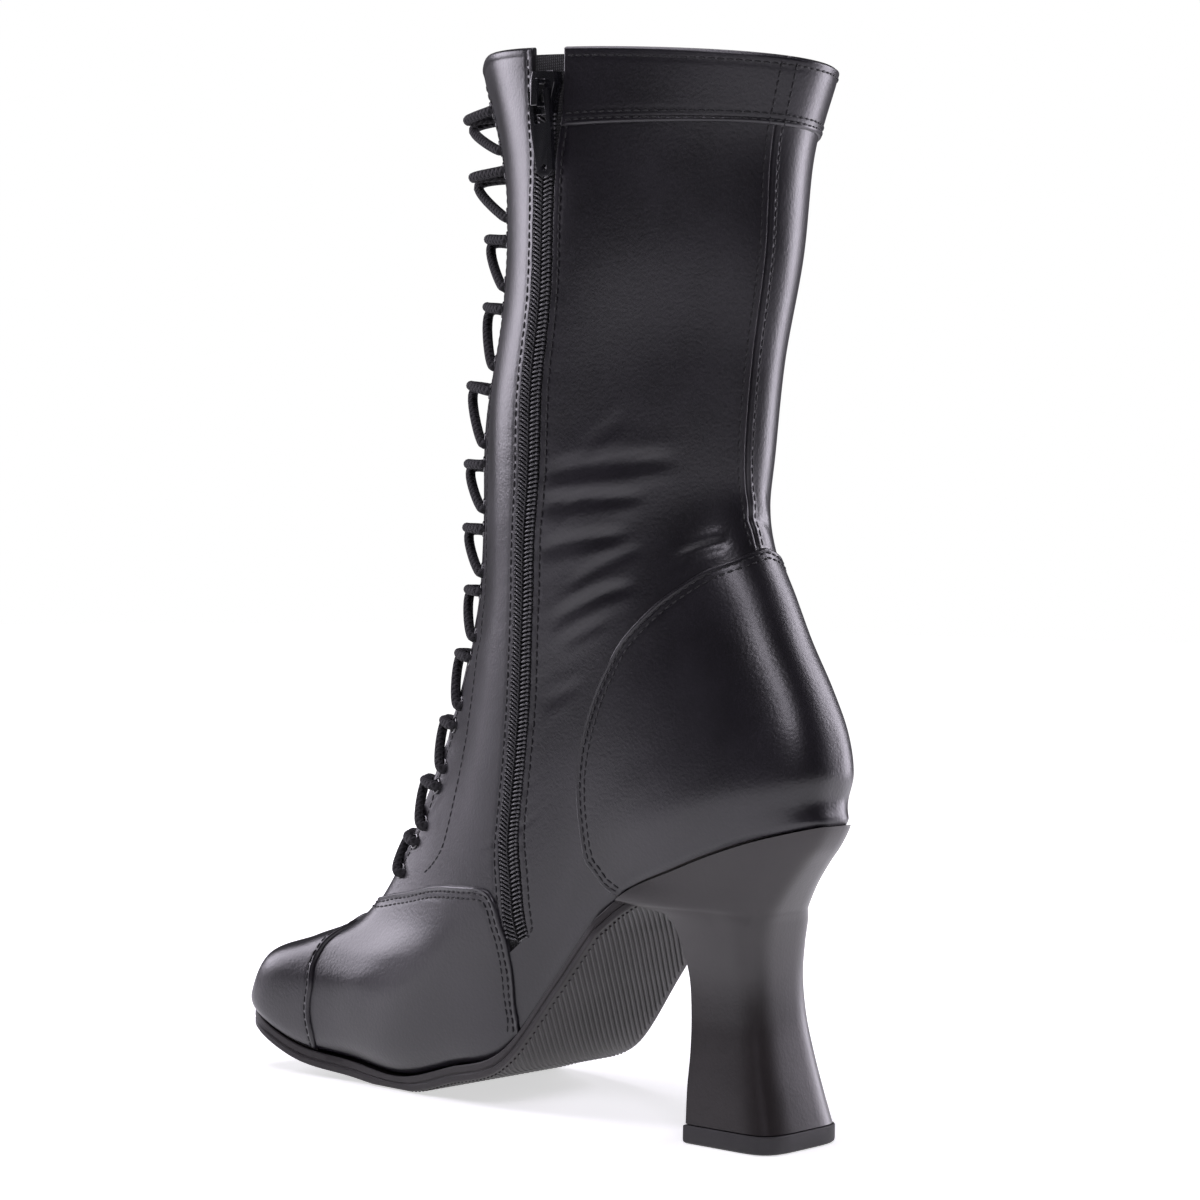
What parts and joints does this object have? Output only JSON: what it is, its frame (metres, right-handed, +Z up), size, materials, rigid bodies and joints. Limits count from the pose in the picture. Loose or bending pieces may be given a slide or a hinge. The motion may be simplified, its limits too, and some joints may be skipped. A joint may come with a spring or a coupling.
{
  "type": "lace-up ankle boot with heel",
  "caption": "High-heeled leather boot for the right foot, with a laced front, a side zip on the inner side, a toe cap, a heel counter, a cuff and a waisted block heel.",
  "frame": {"origin": "middle of the top-lift's underside, on the floor", "axes": "+X to the toe, +Y to the medial side with the zip, +Z up"},
  "size_m": [0.2207, 0.0976, 0.3068],
  "materials": {
    "upper_leather": "smooth black leather, semi-gloss, with a fine grain",
    "insole_lining": "matt lining leather",
    "sole_rubber": "matt dark rubber with fine ribs",
    "heel_leather": "leather-covered heel, semi-gloss",
    "lift_rubber": "matt dark grey rubber",
    "lace_cord": "round braided cord",
    "zip_tape": "woven black tape",
    "zip_coil": "dark coil teeth with a slight gloss",
    "zip_metal": "glossy black enamel"
  },
  "bodies": {
    "boot": {"upper": "upper_leather", "toe_cap": "upper_leather", "vamp": "upper_leather", "counter": "upper_leather", "cuff": "upper_leather", "tongue": "upper_leather", "insole": "insole_lining", "outsole": "sole_rubber", "heel": "heel_leather", "top_lift": "lift_rubber", "zip_tape": "zip_tape", "zip_coil": "zip_coil", "zip_slider": "zip_metal", "lace_cross_01": "lace_cord", "lace_cross_02": "lace_cord", "lace_cross_03": "lace_cord", "lace_cross_04": "lace_cord", "lace_cross_05": "lace_cord", "lace_cross_06": "lace_cord", "lace_cross_07": "lace_cord", "lace_cross_08": "lace_cord", "lace_cross_09": "lace_cord", "lace_cross_10": "lace_cord", "lace_cross_11": "lace_cord", "lace_cross_12": "lace_cord"},
    "tab": {"pull_tab": "zip_metal"}
  },
  "joints": [
    {"name": "tab_hinge", "type": "hinge", "parent": "boot", "child": "tab", "pos_m": [0.04767, 0.04609, 0.28911], "axis": [0.9966, 0.0155, -0.0815], "range_deg": [0, 150]}
  ]
}
